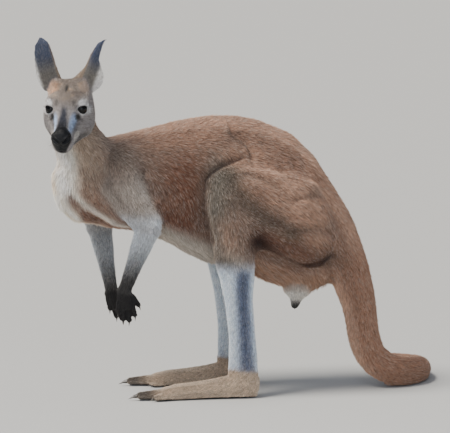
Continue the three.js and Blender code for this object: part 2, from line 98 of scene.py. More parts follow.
def evaluated(ob):
    """The mesh of an object with its modifiers applied. The object itself is taken away."""
    mesh = bpy.data.meshes.new_from_object(ob.evaluated_get(bpy.context.evaluated_depsgraph_get()))
    bpy.data.objects.remove(ob)
    return mesh


def rows_of(items, field, width, kind=np.float32):
    """One field of a mesh's points, edges or corners, as a row of numbers for each."""
    flat = np.empty(len(items) * width, kind)
    items.foreach_get(field, flat)
    return flat.reshape(-1, width)


def points_of(mesh):
    return rows_of(mesh.vertices, "co", 3).astype(float)


def normals_of(mesh):
    return rows_of(mesh.vertex_normals, "vector", 3).astype(float)


def edges_of(mesh):
    return rows_of(mesh.edges, "vertices", 2, np.int32)


def set_points(mesh, points):
    mesh.vertices.foreach_set("co", points.astype(np.float32).ravel())
    mesh.update()


def spread(values, edges, times, amount=0.5):
    """Values at the points of a mesh, evened out along its edges by one amount or one for each point."""
    values = values.copy()
    a, b = edges.T
    count = len(values)
    degree = np.maximum(np.bincount(a, minlength=count) + np.bincount(b, minlength=count), 1)
    columns = values.reshape(count, -1)
    for _ in range(times):
        for k in range(columns.shape[1]):
            column = columns[:, k]
            mean = (np.bincount(a, column[b], count) + np.bincount(b, column[a], count)) / degree
            columns[:, k] = column + amount * (mean - column)
    return columns.reshape(values.shape)


solids = joined([*FLESH, "eye_left", "eye_right"])
solid_owner = [face[solids.faces.layers.int["owner"]] for face in solids.faces]
solid_tree = BVHTree.FromBMesh(solids)
for vert in solids.verts:
    vert.co += vert.normal * SWELL
swollen = bpy.data.meshes.new("swollen")
solids.to_mesh(swollen)
solids.free()
form_work = placed("form_work", swollen)
remesh = form_work.modifiers.new("remesh", "REMESH")
remesh.mode, remesh.voxel_size = "VOXEL", VOXEL
form = evaluated(form_work)


def ramp(value, low, high):
    """0 below low, 1 above high and a soft ramp between. low may be above high."""
    t = np.clip((value - low) / (high - low), 0, 1)
    return t * t * (3 - 2 * t)


# Where the head sits on the neck and how it is turned. The head's own axes have the nose towards -Y.
HEAD_JOINT = Vector((.1495, -.441, .785))
HEAD_TURN = Matrix.Rotation(math.radians(76), 3, "Z") @ Matrix.Rotation(math.radians(20), 3, "X")


def in_head(points):
    """Points in the head's own axes, in millimetres."""
    return (np.asarray(points) - np.array(HEAD_JOINT)) @ np.array(HEAD_TURN) * 1000


def from_head(x, y, z):
    """A place or direction of the head in the frame's axes, from millimetres."""
    return HEAD_JOINT + HEAD_TURN @ Vector((x, y, z)) / 1000


def middle(y):
    """Where the midline of the body lies across at this place along it: the chest swings to the left."""
    return np.interp(y, (-.411, -.356, -.281, -.201, -.121), (.1295, .1125, .0955, .0855, .0795))


def both_sides(line):
    """A line on the left of the body and its mirror image on the right."""
    line = np.array(line, float) / 1000
    other = line.copy()
    other[:, 0] = 2 * middle(line[:, 1]) - line[:, 0]
    return line, other


def along(points, line):
    """How far each point is from a bent line, how far along it, from 0 to 1, and the nearest place on it."""
    line = np.asarray(line, float)
    lengths = np.linalg.norm(np.diff(line, axis=0), axis=1)
    gaps = np.full(len(points), np.inf)
    where = np.zeros(len(points))
    nearest = np.zeros((len(points), 3))
    done = 0
    for a, b, length in zip(line[:-1], line[1:], lengths):
        t = np.clip((points - a) @ (b - a) / length ** 2, 0, 1)
        place = a + t[:, None] * (b - a)
        gap = np.linalg.norm(points - place, axis=1)
        closer = gap < gaps
        gaps[closer] = gap[closer]
        nearest[closer] = place[closer]
        where[closer] = (done + t[closer] * length) / lengths.sum()
        done += length
    return gaps, where, nearest


def groove(points, line, width):
    """1 in the bed of a groove along a line, 0 away from it, and fading out at both ends."""
    gap, where, _ = along(points, line)
    ends = ramp(where, 0, .18) * ramp(where, 1, .82)
    return np.exp(-(gap / width) ** 2) * (.25 + .75 * ends)


def lap(points, line, width, over, up, down):
    """A fold of loose skin that laps over a line: raised on the side over points to, sunk on the other."""
    gap, where, nearest = along(points, line)
    over = np.array(over, float) / np.linalg.norm(over)
    side = (points - nearest) @ over
    raised = ramp(side, -width / 5, width / 5)
    ends = ramp(where, 0, .2) * ramp(where, 1, .8)
    return np.exp(-(gap / width) ** 2) * (up * raised - down * (1 - raised)) * (.2 + .8 * ends)


def mound(points, centre, radii):
    """1 at the middle of a swelling, falling away to 0 at about twice its radii."""
    offset = (points - np.array(centre) / 1000) / (np.array(radii) / 1000)
    return np.exp(-(offset ** 2).sum(1))


# The body form again: the mesh is made finer at the lids, nose and mouth, and the whole is smoothed, most
# over the trunk and least on the ears, hands and feet.
EYES = {side: sum(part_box(f"eye_{side}"), Vector()) / 2 for side in SIDES}
EYE_RADIUS = .0135
NOSE_TIP = from_head(0, -212, -24)
FINE_ZONES = [(np.array(EYES[side]), .027) for side in SIDES] + [(np.array(NOSE_TIP), .034)]

carved = bmesh.new()
carved.from_mesh(form)
zone_points = points_of(form)
fine = np.zeros(len(zone_points), bool)
for centre, reach in FINE_ZONES:
    fine |= np.linalg.norm(zone_points - centre, axis=1) < reach
carved.verts.ensure_lookup_table()
fine_edges = {edge for i in np.flatnonzero(fine) for edge in carved.verts[i].link_edges}
bmesh.ops.subdivide_edges(carved, edges=list(fine_edges), cuts=2, use_grid_fill=True)
bmesh.ops.triangulate(carved, faces=[f for f in carved.faces if len(f.verts) > 4])
carved.to_mesh(form)
carved.free()

points = points_of(form)
edges = edges_of(form)
owner_names = [*FLESH, "head", "head"]


def owners_of(points):
    """The number of the solid that each point lies nearest to."""
    return np.array([solid_owner[solid_tree.find_nearest(Vector(p))[2]] for p in points])


owners = owners_of(points)
part_of = [name.removesuffix("_left").removesuffix("_right") for name in owner_names]


def by_part(values, times=14):
    """A value for each kind of part, at the points of the form, evened out over the joins."""
    return spread(np.array([values[part] for part in part_of], float)[owners], edges, times)


ROUNDS, THIN_ROUNDS = 80, 60
points = spread(points, edges, ROUNDS, .5 * by_part(SMOOTHING))

# The thin parts are evened out by steps in and out, which keep their size.
STEP_IN, STEP_OUT = .5, -.52
FINE_PARTS = ("ear", "hand", "foot", "head")
thin = np.array([part in FINE_PARTS for part in part_of])[owners]
thin_number = np.cumsum(thin) - 1
thin_edges = thin_number[edges[thin[edges].all(1)]]
thin_points = points[thin]
for _ in range(THIN_ROUNDS):
    thin_points = spread(thin_points, thin_edges, 1, STEP_IN)
    thin_points = spread(thin_points, thin_edges, 1, STEP_OUT)
points[thin] = thin_points


# The relief of the body: the loose folds of hide, the muscles under it and the hollows between them. It is
# worked in the one hide, raised or sunk along lines of the left side in millimetres and their mirror images.
FLANK_CREASE = [
    (182, 6, 624), (186, -25, 622), (193, -63, 609), (200, -87, 595), (203, -104, 577), (206, -112, 545)]
THIGH_EDGE = [(203, -104, 577), (206, -112, 545), (203, -111, 487), (194, -104, 440), (172, -95, 392)]
LOOSE_FOLD = [
    (112, -38, 712), (151, -34, 685), (157, -14, 672), (162, 3, 659), (173, 16, 637), (180, 11, 625),
    (184, -15, 623)]
THIGH_GROOVE = [(209, -47, 590), (228, -29, 546), (229, 6, 504), (227, 48, 470), (223, 116, 429)]
HAUNCH_BAND = [
    (212, 29, 411), (197, 52, 386), (178, 92, 350), (168, 141, 330), (174, 191, 336), (173, 224, 356)]
TAIL_CREASE = [(150, 228, 352), (146, 233, 335), (132, 236, 312), (112, 238, 289)]
CHEST_RIDGE = [(188, -456, 582), (198, -434, 536), (194, -405, 505), (172, -362, 474), (140, -310, 446)]
ARM_REAR = [(196, -262, 610), (201, -262, 577), (203, -247, 546), (197, -228, 507)]
SHANK_GROOVE = [(216, -10, 330), (219, -9, 299), (212, -3, 207), (210, 1, 128), (209, 4, 85)]
SHANK_RIDGE = [(214, -40, 330), (216, -38, 299), (204, -36, 206), (199, -33, 127)]
WRINKLES = ([(176, 84, 594), (205, 113, 577), (201, 149, 566)],
            [(225, 110, 517), (221, 144, 522), (202, 187, 526)],
            [(225, 53, 456), (224, 116, 432), (213, 185, 445), (190, 230, 430)],
            [(209, -16, 595), (211, 40, 574), (220, 98, 543)])
RUMP_CREASE = [(190, 105, 590), (180, 150, 570), (168, 180, 560)]
BREAST_HOLLOW = [(190, -450, 532), (192, -428, 504), (184, -407, 485), (167, -385, 467), (140, -345, 446)]
PECTORAL_RIDGE = [(205, -406, 565), (201, -380, 528), (183, -345, 490), (160, -310, 462)]
ARM_FRONT = [(200, -372, 610), (206, -352, 570), (208, -328, 530), (200, -300, 490)]
# Each line's width and how high it is raised, or sunk where it is below nought, in metres.
RELIEF = ((FLANK_CREASE, .009, -.014), (THIGH_EDGE, .013, -.018), (THIGH_GROOVE, .024, -.011),
          (HAUNCH_BAND, .018, -.011), (TAIL_CREASE, .012, -.011), (ARM_REAR, .013, -.012),
          (SHANK_GROOVE, .010, -.0065), (RUMP_CREASE, .016, -.005), (BREAST_HOLLOW, .020, -.010),
          (ARM_FRONT, .013, -.006), *((line, .013, -.007) for line in WRINKLES), (CHEST_RIDGE, .017, .006),
          (SHANK_RIDGE, .011, .003), (PECTORAL_RIDGE, .013, .005))
MUSCLES = (((226, -35, 440), (40, 55, 70), .005), ((228, 35, 545), (30, 60, 32), .005),
           ((222, 75, 410), (40, 60, 30), .005), ((205, -70, 400), (25, 18, 30), .004),
           ((215, -290, 530), (25, 40, 60), .004), ((190, -190, 610), (50, 60, 45), .004))
SOLE, WORN = .012, .8  # up to this height the coat is worn thin, by this share of its depth

set_points(form, points)
normals = normals_of(form)
lift = np.zeros(len(points))
for line, width, height in RELIEF:
    for one in both_sides(line):
        lift += height * groove(points, one, width)
for one in both_sides(LOOSE_FOLD):
    lift += lap(points, one, .016, (0, -1, -.45), .0055, .0095)
for centre, radii, height in MUSCLES:
    for one in both_sides([centre]):
        lift += height * mound(points, one[0] * 1000, radii)
lift -= by_part(COAT_DEPTH) * (1 - (points[:, 2] < SOLE) * WORN)
points += normals * lift[:, None]
points = spread(points, edges, 3, .4 * by_part(SMOOTHING))
set_points(form, points)

# The face. Thick dark lids close over each eyeball, the bare nose pad has two comma-shaped nostrils and a
# cleft, and the mouth runs back under the cheek. All of it is worked in the same hide.
LID = .0014  # how thick a lid stands over the eyeball
OPEN_BACK, OPEN_UP, OPEN_DOWN = 60, 36, 38  # the opening between the lids, in degrees at the eyeball
MOUTH = [(0, -211, -50), (12, -205, -49), (20, -188, -51), (26, -166, -53), (33, -142, -51), (38, -126, -47)]
CLEFT = [(0, -225, -27), (0, -222, -36), (0, -214, -47)]
# How deep or high and how wide each line of the face is, in millimetres, and how far out its raised rim runs.
MOUTH_DEEP, MOUTH_WIDE, LIP_HIGH, LIP_WIDE, LIP_OUT = 3.6, 2.4, 1.0, 3.0, 5.5
NOSTRIL_DEEP, RIM_HIGH, RIM_WIDE, RIM_OUT = 5.5, 1.6, 2.6, 6
CLEFT_DEEP, CLEFT_WIDE = 1.8, 1.6
LID_FOLD_DEEP, LID_FOLD_WIDE, LID_FOLD_OUT, SOCKET_DEEP = .7, .09, .40, 3.2


def two_lines(line):
    """A line of the head's left side and its mirror image, in millimetres of the head's axes."""
    line = np.array(line, float)
    return line, line * (-1, 1, 1)


def lid_axes(side):
    """The way an eye looks, the way to its outer corner and the way up across it, in the head's axes."""
    flip = 1 if side == "left" else -1
    looks = Vector((.70 * flip, -.69, .15)).normalized()
    outer = Vector((.58 * flip, .80, -.40))
    outer = (outer - looks * outer.dot(looks)).normalized()
    up = looks.cross(outer)
    return np.array(looks), np.array(outer), np.array(up if up.z > 0 else -up)


def lid_place(head_mm, side):
    """Each point's way and distance from the eyeball's middle, and how far outside the lids' edge it is."""
    looks, outer, up = lid_axes(side)
    offset = head_mm - in_head([EYES[side]])[0]
    distance = np.linalg.norm(offset, axis=1)
    sideways, upward = offset @ outer, offset @ up
    angle = np.degrees(np.arccos(np.clip(offset @ looks / distance, -1, 1))) / np.hypot(sideways, upward)
    tall = np.where(upward > 0, OPEN_UP, OPEN_DOWN)
    beyond = np.hypot(angle * sideways / OPEN_BACK, angle * upward / tall) - 1
    return offset, distance, beyond


normals = normals_of(form)
head_mm = in_head(points)
head_normals = normals @ np.array(HEAD_TURN)
face_lift = np.zeros(len(points))
for line in two_lines(MOUTH):
    gap, where, _ = along(head_mm, line)
    face_lift -= MOUTH_DEEP * np.exp(-(gap / MOUTH_WIDE) ** 2) * ramp(where, 1, .75)
    lip = gap - LIP_OUT
    face_lift += LIP_HIGH * np.exp(-(lip / LIP_WIDE) ** 2) * ramp(where, 1, .8)
gap, _, _ = along(head_mm, CLEFT)
face_lift -= CLEFT_DEEP * np.exp(-(gap / CLEFT_WIDE) ** 2)
for flip in (1, -1):
    nostril = [(9 * flip, -224, -24), (13 * flip, -221, -21), (18 * flip, -215, -17), (22 * flip, -208, -13)]
    gap, where, _ = along(head_mm, nostril)
    face_lift -= NOSTRIL_DEEP * np.exp(-(gap / (3.6 - 1.9 * where)) ** 2)
    face_lift += RIM_HIGH * np.exp(-((gap - RIM_OUT) / RIM_WIDE) ** 2) * (head_mm[:, 1] < -196)
    for centre, radii, height in (((44, -66, -34), (16, 30, 24), 4), ((36, -100, -4), (9, 20, 7), 2.2),
                                  ((40, -104, 14), (18, 26, 24), 4.6),
                                  ((26, -140, -14), (8, 28, 14), -2.6), ((30, -88, 38), (14, 16, 8), 2.6),
                                  ((20, -178, -38), (9, 20, 9), 2.2), ((36, -122, -24), (9, 16, 9), 2.4),
                                  ((0, -72, 62), (12, 22, 12), -1.5), ((22, -122, 8), (9, 12, 10), -2.4),
                                  ((30, -60, -72), (14, 30, 12), 2), ((46, -44, 14), (10, 16, 16), -3)):
        offset = (head_mm - np.array(centre) * (flip, 1, 1)) / np.array(radii)
        face_lift += height * np.exp(-(offset ** 2).sum(1))
on_head = by_part(dict.fromkeys(part_of, 0) | dict(head=1), 4)
head_mm += head_normals * (face_lift * on_head)[:, None]
for side in SIDES:
    offset, distance, beyond = lid_place(head_mm, side)
    ball = EYE_RADIUS * 1000
    lid = ball + LID * 1000 - LID_FOLD_DEEP * np.exp(-((beyond - LID_FOLD_OUT) / LID_FOLD_WIDE) ** 2)
    outside = lid + (distance - lid) * ramp(beyond, .22, .75)
    target = np.where(beyond < 0, ball - SOCKET_DEEP, np.maximum(outside, ball + .6))
    near = ramp(distance, 28, 22) * (on_head > .2)
    scale = 1 + near * (target / distance - 1)
    head_mm = in_head([EYES[side]])[0] + offset * scale[:, None]
points = head_mm @ np.array(HEAD_TURN).T / 1000 + np.array(HEAD_JOINT)
BOX_LOW, BOX_HIGH = np.array(cad_box[0]), np.array(cad_box[1])
points = np.clip(points, BOX_LOW, BOX_HIGH)
set_points(form, points)


# The studio: a pale floor, one broad soft light from above and in front, and a fainter cool fill. The camera
# looks across the animal from its left, a little above the floor.
AIM = Vector((.0795, -.037, .460))
BACK = Vector((.983, -.138, .122)).normalized()
AWAY = 9.0
VIEW_WIDTH = 1.170  # what the frame takes in across, at the aim


def towards(direction, up=(0, 0, 1)):
    """A turn whose Z axis is this direction and whose Y axis is as near to up as it can be."""
    z = Vector(direction).normalized()
    x = Vector(up).cross(z).normalized()
    return Matrix((x, z.cross(x), z)).transposed()


def material(name, roughness, specular, sheen=0):
    """A new material with its even finishes set on the shader, then its node tree and the shader."""
    made = bpy.data.materials.new(name)
    made.use_nodes = True
    shader = made.node_tree.nodes["Principled BSDF"]
    shader.inputs["Roughness"].default_value = roughness
    shader.inputs["Specular IOR Level"].default_value = specular
    shader.inputs["Sheen Weight"].default_value = sheen
    return made, made.node_tree, shader


camera_data = bpy.data.cameras.new("camera")
camera_data.sensor_width = 36
camera_data.lens = camera_data.sensor_width * AWAY / VIEW_WIDTH
camera_data.clip_end = 60
camera = placed("camera", camera_data)
camera.matrix_world = Matrix.Translation(AIM + BACK * AWAY) @ towards(BACK).to_4x4()
bpy.context.scene.camera = camera

key = bpy.data.lights.new("key", "SUN")
key.angle = math.radians(24)
key.energy = 4.3
key.color = (1, .95, .88)
fill = bpy.data.lights.new("fill", "AREA")
fill.shape, fill.size = "DISK", 3.0
fill.energy = 55
fill.color = (.80, .88, 1)
for light, place in ((key, (.9, -2.3, 4.2)), (fill, (4.0, -.6, 1.6))):
    lamp = placed(light.name, light)
    lamp.matrix_world = Matrix.Translation(place) @ towards(Vector(place) - AIM).to_4x4()
world = bpy.data.worlds.new("studio")
world.use_nodes = True
surround = world.node_tree.nodes["Background"].inputs
surround["Color"].default_value = (.86, .90, 1, 1)
surround["Strength"].default_value = .30
bpy.context.scene.world = world

floor_mesh = bpy.data.meshes.new("floor")
floor_bm = bmesh.new()
bmesh.ops.create_grid(floor_bm, x_segments=1, y_segments=1, size=40)
floor_bm.to_mesh(floor_mesh)
floor_bm.free()
floor = placed("floor", floor_mesh)
floor_look, _, shader = material("floor_paint", .8, .5)
shader.inputs["Base Color"].default_value = (.62, .62, .60, 1)
floor_mesh.materials.append(floor_look)


# The hide: one skin over the whole animal but its eyes and claws, with no seam. Its mesh is thinned where
# the form is broad, and stays fine on the face, ears, hands and feet.
KEPT_FINE = dict.fromkeys(part_of, 1) | dict(head=.35, ear=.6, hand=.45, foot=.75)
thinned = by_part(KEPT_FINE, 6)
for centre, reach in FINE_ZONES:
    thinned *= 1 - .97 * ramp(np.linalg.norm(points - centre, axis=1), reach * 1.1, reach * .8)
HIDE_FACES = 190_000
hide_work = placed("hide_work", form)
group = hide_work.vertex_groups.new(name="thinned")
STEPS = 20
for step in range(STEPS + 1):
    chosen = np.flatnonzero(np.round(thinned * STEPS) == step)
    group.add(chosen.tolist(), step / STEPS, "REPLACE")
thinner = hide_work.modifiers.new("thinner", "DECIMATE")
thinner.ratio = HIDE_FACES / (2 * len(form.polygons))
thinner.vertex_group = "thinned"
thinner.vertex_group_factor = 1
thinner.use_collapse_triangulate = True
hide = evaluated(hide_work)
hide.shade_smooth()
points = points_of(hide)
edges = edges_of(hide)
normals = normals_of(hide)
owners = owners_of(points)


# The lie of the coat: from the nose back over the head, down the neck, back along the body and down the
# limbs. Each guide is a place and the way the hair lies there, and it turns smoothly from one to the next.
def lie(*rows):
    """Guides from rows of six numbers: a place in millimetres and a way."""
    return [(np.array(row[:3]) / 1000, np.array(row[3:], float)) for row in rows]


BODY_LIE = lie(
    (130, -380, 680, 0, .5, -.9), (170, -370, 640, 0, .5, -.9), (100, -330, 680, 0, .8, -.5),
    (80, -200, 710, 0, 1, 0), (80, -50, 735, 0, 1, -.05), (80, 100, 680, 0, .85, -.5),
    (80, 200, 580, 0, .6, -.8), (80, 270, 450, 0, .25, -1), (190, -250, 620, 0, .75, -.6),
    (195, -150, 620, 0, .8, -.5), (200, -150, 510, 0, .4, -.9), (185, -190, 460, 0, .35, -.9),
    (150, -60, 690, 0, .85, -.4), (160, 60, 650, 0, .85, -.5), (80, -200, 400, 0, 1, -.1),
    (80, -50, 335, 0, 1, -.2), (80, 80, 300, 0, .9, -.3), (208, -60, 590, 0, .35, -.9),
    (222, 20, 540, 0, .75, -.6), (225, 80, 470, 0, .85, -.5), (200, 150, 420, 0, .75, -.65),
    (210, -75, 440, 0, .1, -1), (215, -40, 360, 0, .1, -1), (190, 90, 370, 0, .7, -.7),
    (180, 150, 560, 0, .7, -.7), (165, 220, 450, 0, .35, -.9), (120, 0, 350, 0, .2, -1),
    (140, 190, 340, 0, .6, -.7), (205, -20, 250, 0, 0, -1), (190, 30, 120, 0, 0, -1),
    (175, -30, 120, 0, 0, -1), (183, -30, 45, 0, -.8, -.6), (183, 40, 50, 0, -.3, -1),
    (184, -120, 25, 0, -1, -.1), (186, -220, 18, 0, -1, -.1), (80, 165, 250, 0, 0, -1))
FRONT_LIE = lie(
    (155, -430, 700, .02, .1, -1), (180, -450, 640, 0, .1, -1), (185, -450, 560, 0, .2, -1),
    (60, -440, 560, 0, .2, -1), (130, -470, 600, 0, .05, -1), (140, -420, 470, 0, .7, -.7),
    (60, -370, 490, 0, .6, -.8), (110, -330, 440, 0, 1, -.1), (190, -330, 590, .1, .2, -1),
    (205, -290, 520, 0, .4, -.9), (196, -245, 450, 0, .1, -1), (190, -285, 370, -.07, -.34, -.94),
    (182, -315, 300, -.05, -.2, -1), (178, -325, 250, 0, -.1, -1), (35, -390, 560, 0, .2, -1),
    (15, -365, 450, 0, .1, -1), (35, -350, 350, .25, .1, -1), (58, -340, 280, .2, 0, -1),
    (62, -345, 240, .1, 0, -1))
TAIL_LINE = [
    (79, 240, 400), (79, 301, 288), (79, 326, 180), (78, 347, 92), (63, 419, 42), (35, 463, 36),
    (-10, 494, 32), (-70, 511, 28), (-145, 511, 24), (-220, 494, 20), (-288, 463, 16), (-338, 429, 12)]
EAR_LIE = {"left": (48, 40, 110), "right": (-32, 40, 114)}
EAR_BASE = {"left": (41, -26, 33), "right": (-41, -26, 33)}
HEAD_LIE = (
    (0, -205, 4, 0, 1, .5), (0, -150, 22, 0, 1, .25), (0, -90, 62, 0, 1, .15), (0, -40, 66, 0, 1, -.1),
    (0, 10, 50, 0, .7, -.8), (28, -165, -10, .2, 1, -.1), (34, -120, -20, .3, 1, -.4),
    (46, -80, -30, .2, .9, -.5), (50, -40, -10, 0, .9, -.5), (50, -30, 30, 0, 1, .2),
    (34, -92, 44, .5, .9, .3), (10, -180, -66, 0, 1, -.1), (14, -110, -86, 0, 1, -.1),
    (30, -40, -80, 0, .8, -.5), (44, -128, 8, .5, .8, -.2))


def unit(ways):
    """Ways, in rows or alone, at a length of 1."""
    return ways / np.maximum(np.linalg.norm(ways, axis=-1, keepdims=True), 1e-6)


def laid_down(ways, normals):
    """Ways with what stands off the hide taken out."""
    return ways - normals * (ways * normals).sum(1)[:, None]


guides = []
for place, way in BODY_LIE:
    for flip in (1, -1):
        guides.append((place * (flip, 1, 1) + (0 if flip > 0 else 2 * middle(place[1]), 0, 0), way))
guides += FRONT_LIE
for a, b in zip(TAIL_LINE[:-1], TAIL_LINE[1:]):
    a, b = np.array(a) / 1000, np.array(b) / 1000
    for step in (.25, .75):
        guides.append((a + (b - a) * step, b - a))
for sideways, *place, outwards, back, up in HEAD_LIE:
    for flip in (1, -1):
        guides.append((np.array(from_head(sideways * flip, *place)),
                       np.array(HEAD_TURN @ Vector((outwards * flip, back, up)))))
for side in SIDES:
    rise = unit(np.array(EAR_LIE[side], float))
    for step in (14, 40, 70, 100, 130):
        guides.append((np.array(from_head(*(np.array(EAR_BASE[side]) + rise * step))),
                       np.array(HEAD_TURN @ Vector(rise))))
ways = np.zeros_like(points)
pull = np.zeros(len(points))
for place, way in guides:
    weight = 1 / (((points - place) ** 2).sum(1) + 1e-5) ** 2.5
    ways += weight[:, None] * unit(way)
    pull += weight
ways = spread(laid_down(ways / pull[:, None], normals), edges, 6)
ways = unit(laid_down(ways, normals))


# The colours of the coat, laid on the hide and carried out along each tuft, with painted light and shade
# among
# them: the ground colour first, then the markings, then the painted shade in the beds of the folds and the
# bare black hide.
def dye(red, green, blue):
    """A colour as numbers for light, from its mixing on a scale of 255."""
    value = np.array([red, green, blue]) / 255
    return np.where(value > .04045, ((value + .055) / 1.055) ** 2.4, value / 12.92)


def mottle(places, size, seed=0):
    """Soft random shading from 0 to 1, in patches of this size in metres."""
    table = np.random.default_rng(seed).random(4096)
    cell = np.floor(places / size).astype(np.int64)
    part = places / size - cell
    part = part * part * (3 - 2 * part)
    total = np.zeros(len(places))
    for corner in range(8):
        step = np.array([corner & 1, corner >> 1 & 1, corner >> 2 & 1])
        share = np.where(step, part, 1 - part).prod(1)
        key = (cell + step) @ np.array([73856093, 19349663, 83492791])
        total += share * table[np.abs(key) % 4096]
    return total


def lay(colours, colour, amount):
    """One colour laid over the others, by this much at each point."""
    amount = np.clip(amount, 0, 1)[:, None]
    return colours * (1 - amount) + np.array(colour) * amount


def near(places, centre, radii):
    """1 at a place, fading smoothly to 0 at these radii and beyond, in the same units as the places."""
    return ramp(np.sqrt((((places - np.array(centre)) / np.array(radii)) ** 2).sum(1)), 1, .35)


RUST, PALE_RUST, DEEP_RUST = dye(146, 114, 96), dye(196, 158, 134), dye(106, 60, 39)
GREY_BROWN, ASH, CREASE_SHADE, SANDY = dye(126, 112, 102), dye(112, 108, 98), dye(40, 26, 20), dye(190, 170, 150)
BELLY, SKYLIT_SHANK, SHANK_GROOVE_SHADE = dye(180, 170, 158), dye(224, 238, 255), dye(108, 119, 144)
ELBOW, FOREARM, SOOT, BLACK = dye(186, 176, 166), dye(202, 208, 214), dye(64, 62, 61), dye(40, 38, 38)
CREAM, WHITE, TAN = dye(244, 238, 226), dye(252, 250, 246), dye(214, 188, 160)
TAIL, TAIL_END, FOOT, KNEE = dye(164, 126, 104), dye(118, 86, 68), dye(206, 186, 164), dye(84, 72, 62)
EAR_BACK, EAR_ROOT, EAR_INSIDE = dye(76, 86, 110), dye(128, 124, 118), dye(204, 202, 204)
EAR_EDGE, FACE, BROW, ORANGE = dye(160, 136, 112), dye(166, 161, 160), dye(156, 144, 134), dye(216, 170, 132)
BRIDGE, SKYLIT_BRIDGE_SIDE, EYE_RING = dye(72, 75, 88), dye(180, 204, 240), dye(244, 246, 248)
CHEEK, MUZZLE, EYE_LINE, LIP = dye(130, 128, 132), dye(104, 104, 112), dye(70, 68, 72), dye(216, 212, 204)
LIP_SHADE, JAW_SHADE, CHIN, BARE = dye(96, 94, 96), dye(104, 98, 92), dye(196, 190, 182), dye(14, 15, 18)
FRINGE_START = {"left": 0, "right": 9}  # how far out the ears' white fringes begin, in millimetres
GROIN, HAUNCH_SHADE, OLIVE_SHADE, PURSE = dye(168, 132, 108), dye(46, 20, 10), dye(88, 78, 66), dye(222, 218, 210)

mass = {part: spread((np.array(part_of)[owners] == part).astype(float), edges, 8) for part in set(part_of)}
x, y, z = (points * 1000).T
nx, ny, nz = normals.T
outer = np.sign(x - 1000 * middle(points[:, 1])) * nx  # 1 where the hide faces out sideways
head_mm = in_head(points)
hx, hy, hz = head_mm.T


def ribbon(line, width, mirror=True):
    """1 along a line of the body and on its mirror image, fading out within this width in metres."""
    lines = both_sides(line) if mirror else [np.array(line, float) / 1000]
    return np.max([np.exp(-(along(points, one)[0] / width) ** 2) for one in lines], axis=0)


coat = np.tile(RUST, (len(points), 1))


def paint(colour, amount):
    """A colour laid over the coat, by this much at each point."""
    coat[:] = lay(coat, colour, amount)


paint(PALE_RUST, ramp(mottle(points, .06, 1), .4, .9) * .5)
paint(GREY_BROWN, ramp(mottle(points, .045, 2), .45, .9) * .4)
# Painted light: the coat is paler where it faces up, where the light from above falls on the back.
paint(PALE_RUST, ramp(nz, .25, .95) * .55)
# The flank is darker low down, a deeper coat colour under painted shade; the shoulder, upper arm and front
# of the thigh are grizzled grey, and the pale strokes along the thigh and rump are painted highlights.
# Each stroke is a colour, how much of it, how wide in metres and the line it follows.
for colour, amount, width, line in (
        # Painted shade, over a deeper coat colour, low on the flank.
        (DEEP_RUST, .8, .085, [(200, -200, 450), (200, -125, 460), (200, -140, 540)]),
        (DEEP_RUST, .35, .050, [(190, -240, 560), (196, -150, 600)]),
        (GREY_BROWN, 1, .060, [(170, -350, 690), (196, -310, 620), (205, -290, 560)]),
        (SANDY, .8, .045, [(170, -440, 740), (180, -430, 680), (196, -400, 600)]),
        (ASH, .9, .046, [(205, -70, 590), (212, -80, 500), (210, -78, 420), (212, -50, 360)]),
        (GREY_BROWN, .5, .060, [(226, -10, 470), (222, 10, 400)]),
        (PALE_RUST, .4, .026, [(214, -60, 455), (216, -50, 400)]),
        (KNEE, .6, .028, [(206, -88, 425), (200, -80, 375)]),
        (DEEP_RUST, .6, .030, [(220, 40, 430), (205, 90, 400), (190, 150, 390)]),
        # Painted highlights along the crest of the thigh, across the haunch and down the rump.
        (PALE_RUST, .7, .036, [(180, 26, 617), (205, 74, 580), (219, 137, 529), (213, 185, 476)]),
        (PALE_RUST, .4, .030, [(224, 60, 520), (224, 120, 490), (214, 180, 430)]),
        (PALE_RUST, .5, .034, [(160, 190, 560), (140, 250, 480), (120, 290, 400)])):
    paint(colour, ribbon(line, width) * amount)
# The belly, the throat and the breast are pale.
belly_line = np.interp(y, (-300, -220, -165, -110, -60, 60, 170), (430, 462, 440, 420, 392, 350, 312))
underside = ramp(z - belly_line, 14, -22) * (mass["trunk"] + mass["thigh"])
paint(BELLY, underside * (y > -330) * ramp(y, 40, -10))
paint(GROIN, underside * ramp(y, -10, 40))
breast = ramp(y, -330, -400) * ramp(-ny, .0, .6) * (mass["trunk"] + mass["neck"])
paint(TAN, breast * .9)
paint(CREAM, breast * ramp(np.abs(x - 152 + .3 * (600 - z)), 84, 40))
paint(TAN, breast * ramp(mottle(points, .035, 3), .45, .8) * .6)
paint(WHITE, ribbon([(190, -470, 560), (172, -480, 620), (166, -472, 700)], .026, False))
# Painted shade in the hollow beside the breast.
paint(DEEP_RUST, ribbon(BREAST_HOLLOW, .017))
paint(CREAM, ribbon(CHEST_RIDGE, .010) * .7)
# The limbs: pale forearms, pale shanks tinted blue as painted skylight, black hands, and a stripe of
# blue-grey painted shade along the groove down the outside of each shank.
paint(ELBOW, mass["arm"] * ramp(z, 620, 540) * .85)
paint(FOREARM, mass["arm"] * ramp(z, 500, 465))
paint(GREY_BROWN, mass["arm"] * ribbon(ARM_FRONT, .014) * .6)
paint(FOREARM, mass["forearm"])
paint(SOOT, mass["forearm"] * ramp(-outer, -.1, .7) * .45)
paint(SOOT, (mass["forearm"] + mass["hand"]) * ramp(z - 20 * np.sign(x - 150), 410, 290))
paint(BLACK, mass["hand"] * ramp(z, 300, 268))
# The shanks' pale colour is tinted blue as painted skylight.
paint(SKYLIT_SHANK, ramp(z, 372, 318) * (mass["shank"] + mass["thigh"] * ramp(y, 50, 25)))
